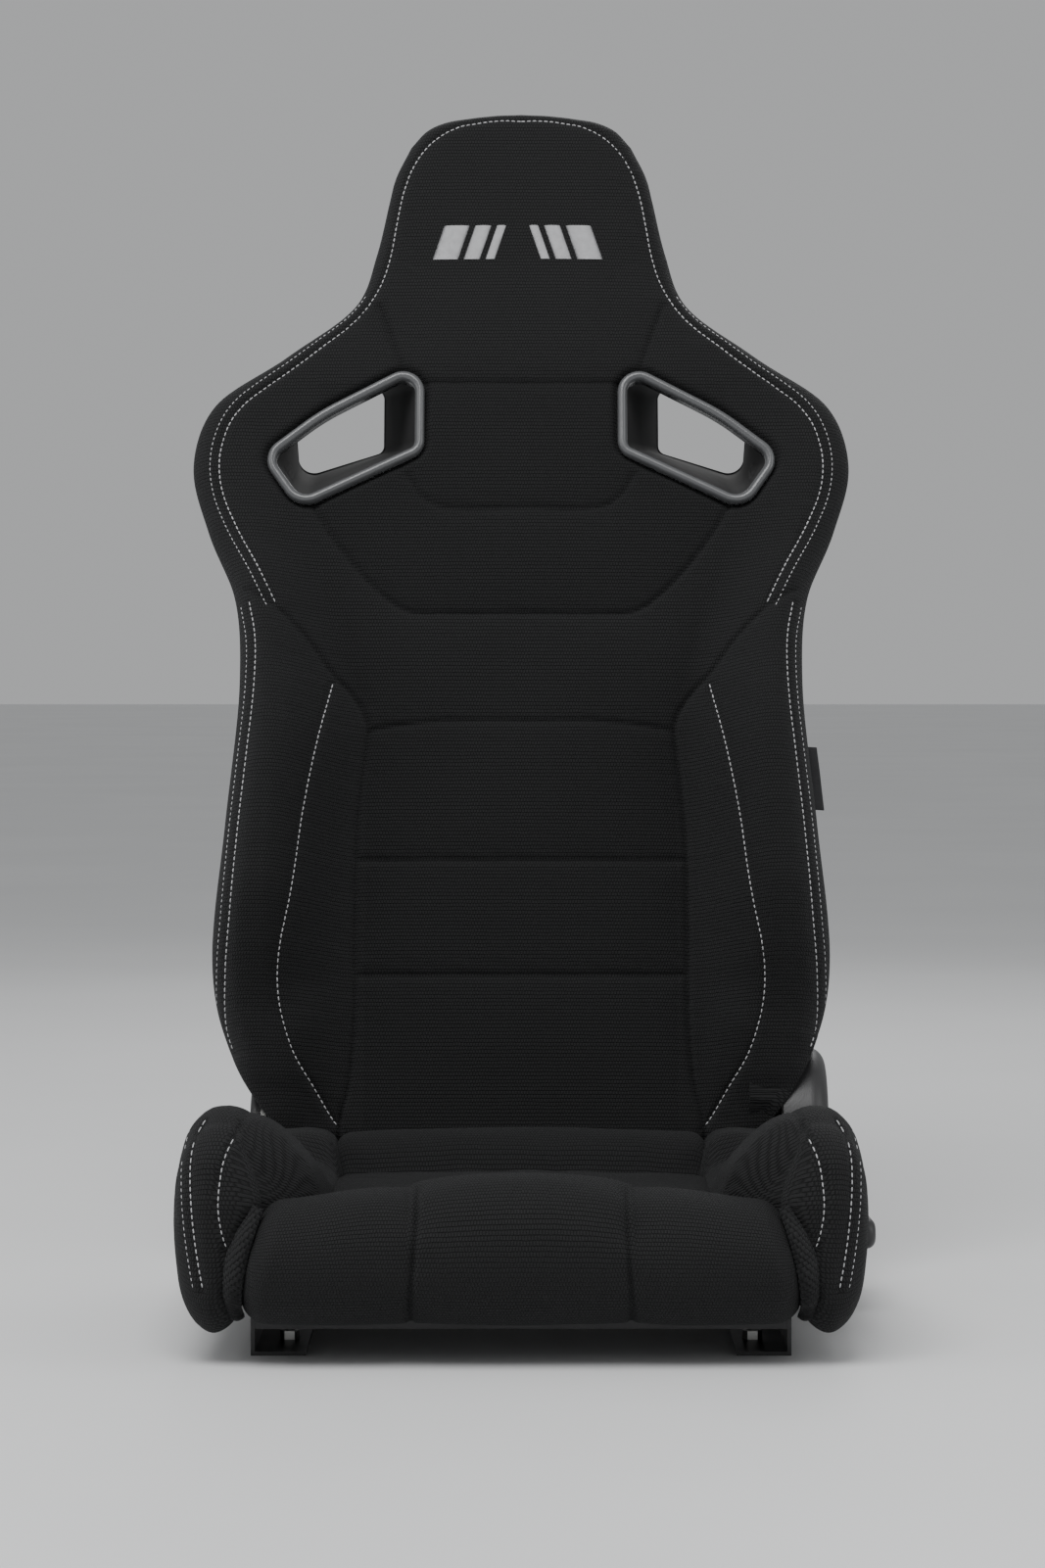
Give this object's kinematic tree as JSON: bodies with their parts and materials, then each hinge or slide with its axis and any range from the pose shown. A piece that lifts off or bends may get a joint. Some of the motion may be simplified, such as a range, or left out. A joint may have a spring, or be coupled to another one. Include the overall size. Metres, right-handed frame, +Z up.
{
  "type": "racing seat",
  "caption": "Reclining sports seat with wing shoulders, fixed headrest, harness openings, deep side bolsters and a lever-released recliner on a flanged steel base.",
  "frame": {"origin": "centre of the four floor bolts, on the underside of the side flanges", "axes": "+Z up, -Y the way the seat faces, +X to the right as seen from the front"},
  "size_m": [0.568, 0.7707, 0.9932],
  "materials": {
    "knit_fabric": "dark ribbed knit over foam, silver thread stitching",
    "centre_fabric": "fine ribbed knit on the centre panels",
    "frame_paint": "satin black powder coat on steel",
    "zinc_steel": "bright zinc-plated steel",
    "spring_steel": "oil-blackened spring wire",
    "shell_plastic": "textured black moulded plastic",
    "trim_plastic": "satin dark grey moulded plastic",
    "cover_plastic": "grained dark plastic",
    "bronze_bush": "sintered bronze",
    "tag_cloth": "plain woven tape"
  },
  "bodies": {
    "base": {"side_member_left": "frame_paint", "side_member_right": "frame_paint", "recliner_base_plate_left": "zinc_steel", "recliner_base_plate_right": "zinc_steel", "recliner_guard_plate_left": "zinc_steel", "recliner_guard_plate_right": "zinc_steel", "seat_bolster_left": "knit_fabric", "seat_bolster_right": "knit_fabric", "front_cross_tube": "frame_paint", "rear_cross_tube": "frame_paint", "floor_weld_nuts": "zinc_steel", "front_pan": "frame_paint", "seat_springs": "spring_steel", "seat_centre_pad": "centre_fabric", "thigh_roll_pad": "knit_fabric", "recliner_spacers": "zinc_steel", "recliner_bolts": "zinc_steel", "pivot_bolts": "zinc_steel", "pawl_pins": "zinc_steel", "recliner_cover_right": "cover_plastic", "recliner_cap_left": "cover_plastic", "cover_screws": "zinc_steel", "recline_spring": "spring_steel"},
    "backrest": {"recliner_arm_left": "zinc_steel", "recliner_arm_right": "zinc_steel", "back_bolster_left": "knit_fabric", "back_bolster_right": "knit_fabric", "harness_bezel_left": "trim_plastic", "harness_bezel_right": "trim_plastic", "harness_sleeve_left": "trim_plastic", "harness_sleeve_right": "trim_plastic", "harness_rear_bezel_left": "trim_plastic", "harness_rear_bezel_right": "trim_plastic", "pivot_bushes": "bronze_bush", "arm_bolts": "zinc_steel", "spring_post": "zinc_steel", "back_frame_hoop": "frame_paint", "back_cross_bars": "frame_paint", "back_springs": "spring_steel", "back_centre_pad": "centre_fabric", "shoulder_pad": "knit_fabric", "back_shell": "shell_plastic", "shell_screws": "zinc_steel", "side_tag": "tag_cloth"},
    "release_lever": {"cross_rod": "zinc_steel", "release_cams": "zinc_steel", "lever_arm": "zinc_steel", "lever_nut": "zinc_steel", "lever_grip": "cover_plastic"},
    "pawl_left": {"lock_pawl_left": "zinc_steel"},
    "pawl_right": {"lock_pawl_right": "zinc_steel"}
  },
  "joints": [
    {"name": "recline", "type": "hinge", "parent": "base", "child": "backrest", "pos_m": [0, 0.205, 0.118], "axis": [1, 0, 0], "range_deg": [-60, 48], "deforming": ["recline_spring"]},
    {"name": "lever_pull", "type": "hinge", "parent": "base", "child": "release_lever", "pos_m": [0, 0.1675, 0.053], "axis": [-1, 0, 0], "range_deg": [0, 25], "stiffness_Nm_per_rad": 2.5, "springref_deg": -14.32},
    {"name": "pawl_left_swing", "type": "hinge", "parent": "base", "child": "pawl_left", "pos_m": [-0.209, 0.149, 0.092], "axis": [-1, 0, 0], "range_deg": [0, 7]},
    {"name": "pawl_right_swing", "type": "hinge", "parent": "base", "child": "pawl_right", "pos_m": [0.209, 0.149, 0.092], "axis": [-1, 0, 0], "range_deg": [0, 7]}
  ],
  "couplings": [
    {"joint": "pawl_left_swing", "follows": "lever_pull", "ratio": 0.28},
    {"joint": "pawl_right_swing", "follows": "lever_pull", "ratio": 0.28}
  ]
}
